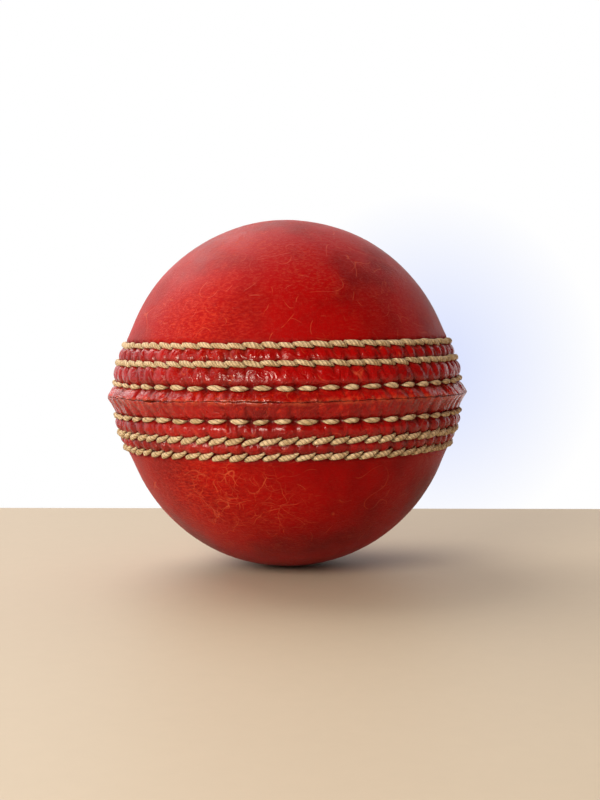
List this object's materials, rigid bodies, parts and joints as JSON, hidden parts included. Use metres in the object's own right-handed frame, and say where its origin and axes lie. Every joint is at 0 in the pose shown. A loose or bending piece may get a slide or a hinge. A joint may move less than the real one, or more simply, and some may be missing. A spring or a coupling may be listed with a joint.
{
  "type": "cricket ball",
  "caption": "Round leather-covered ball with a raised, hand-stitched seam around a wound cork core.",
  "frame": {"origin": "centre of the ball", "axes": "+Z along the ball's pole axis, square to the seam, which lies in the XY plane"},
  "size_m": [0.075, 0.075, 0.072],
  "materials": {
    "leather": "polished",
    "thread": "matte",
    "yarn": "matte",
    "cork": "matte",
    "rubber_cork": "matte"
  },
  "bodies": {
    "root": {"upper_cover": "leather", "lower_cover": "leather", "outer_yarn_winding": "yarn", "middle_yarn_winding": "yarn", "inner_yarn_winding": "yarn", "core_nucleus": "rubber_cork", "upper_lip_stitches": "thread", "lower_lip_stitches": "thread", "upper_middle_stitches": "thread", "lower_middle_stitches": "thread", "upper_outer_stitches": "thread", "lower_outer_stitches": "thread", "outer_cork_pad_1": "cork", "outer_cork_pad_2": "cork", "outer_cork_pad_3": "cork", "outer_cork_pad_4": "cork", "outer_cork_pad_5": "cork", "outer_cork_pad_6": "cork", "inner_cork_pad_1": "cork", "inner_cork_pad_2": "cork", "inner_cork_pad_3": "cork", "inner_cork_pad_4": "cork", "inner_cork_pad_5": "cork", "inner_cork_pad_6": "cork"}
  },
  "joints": []
}
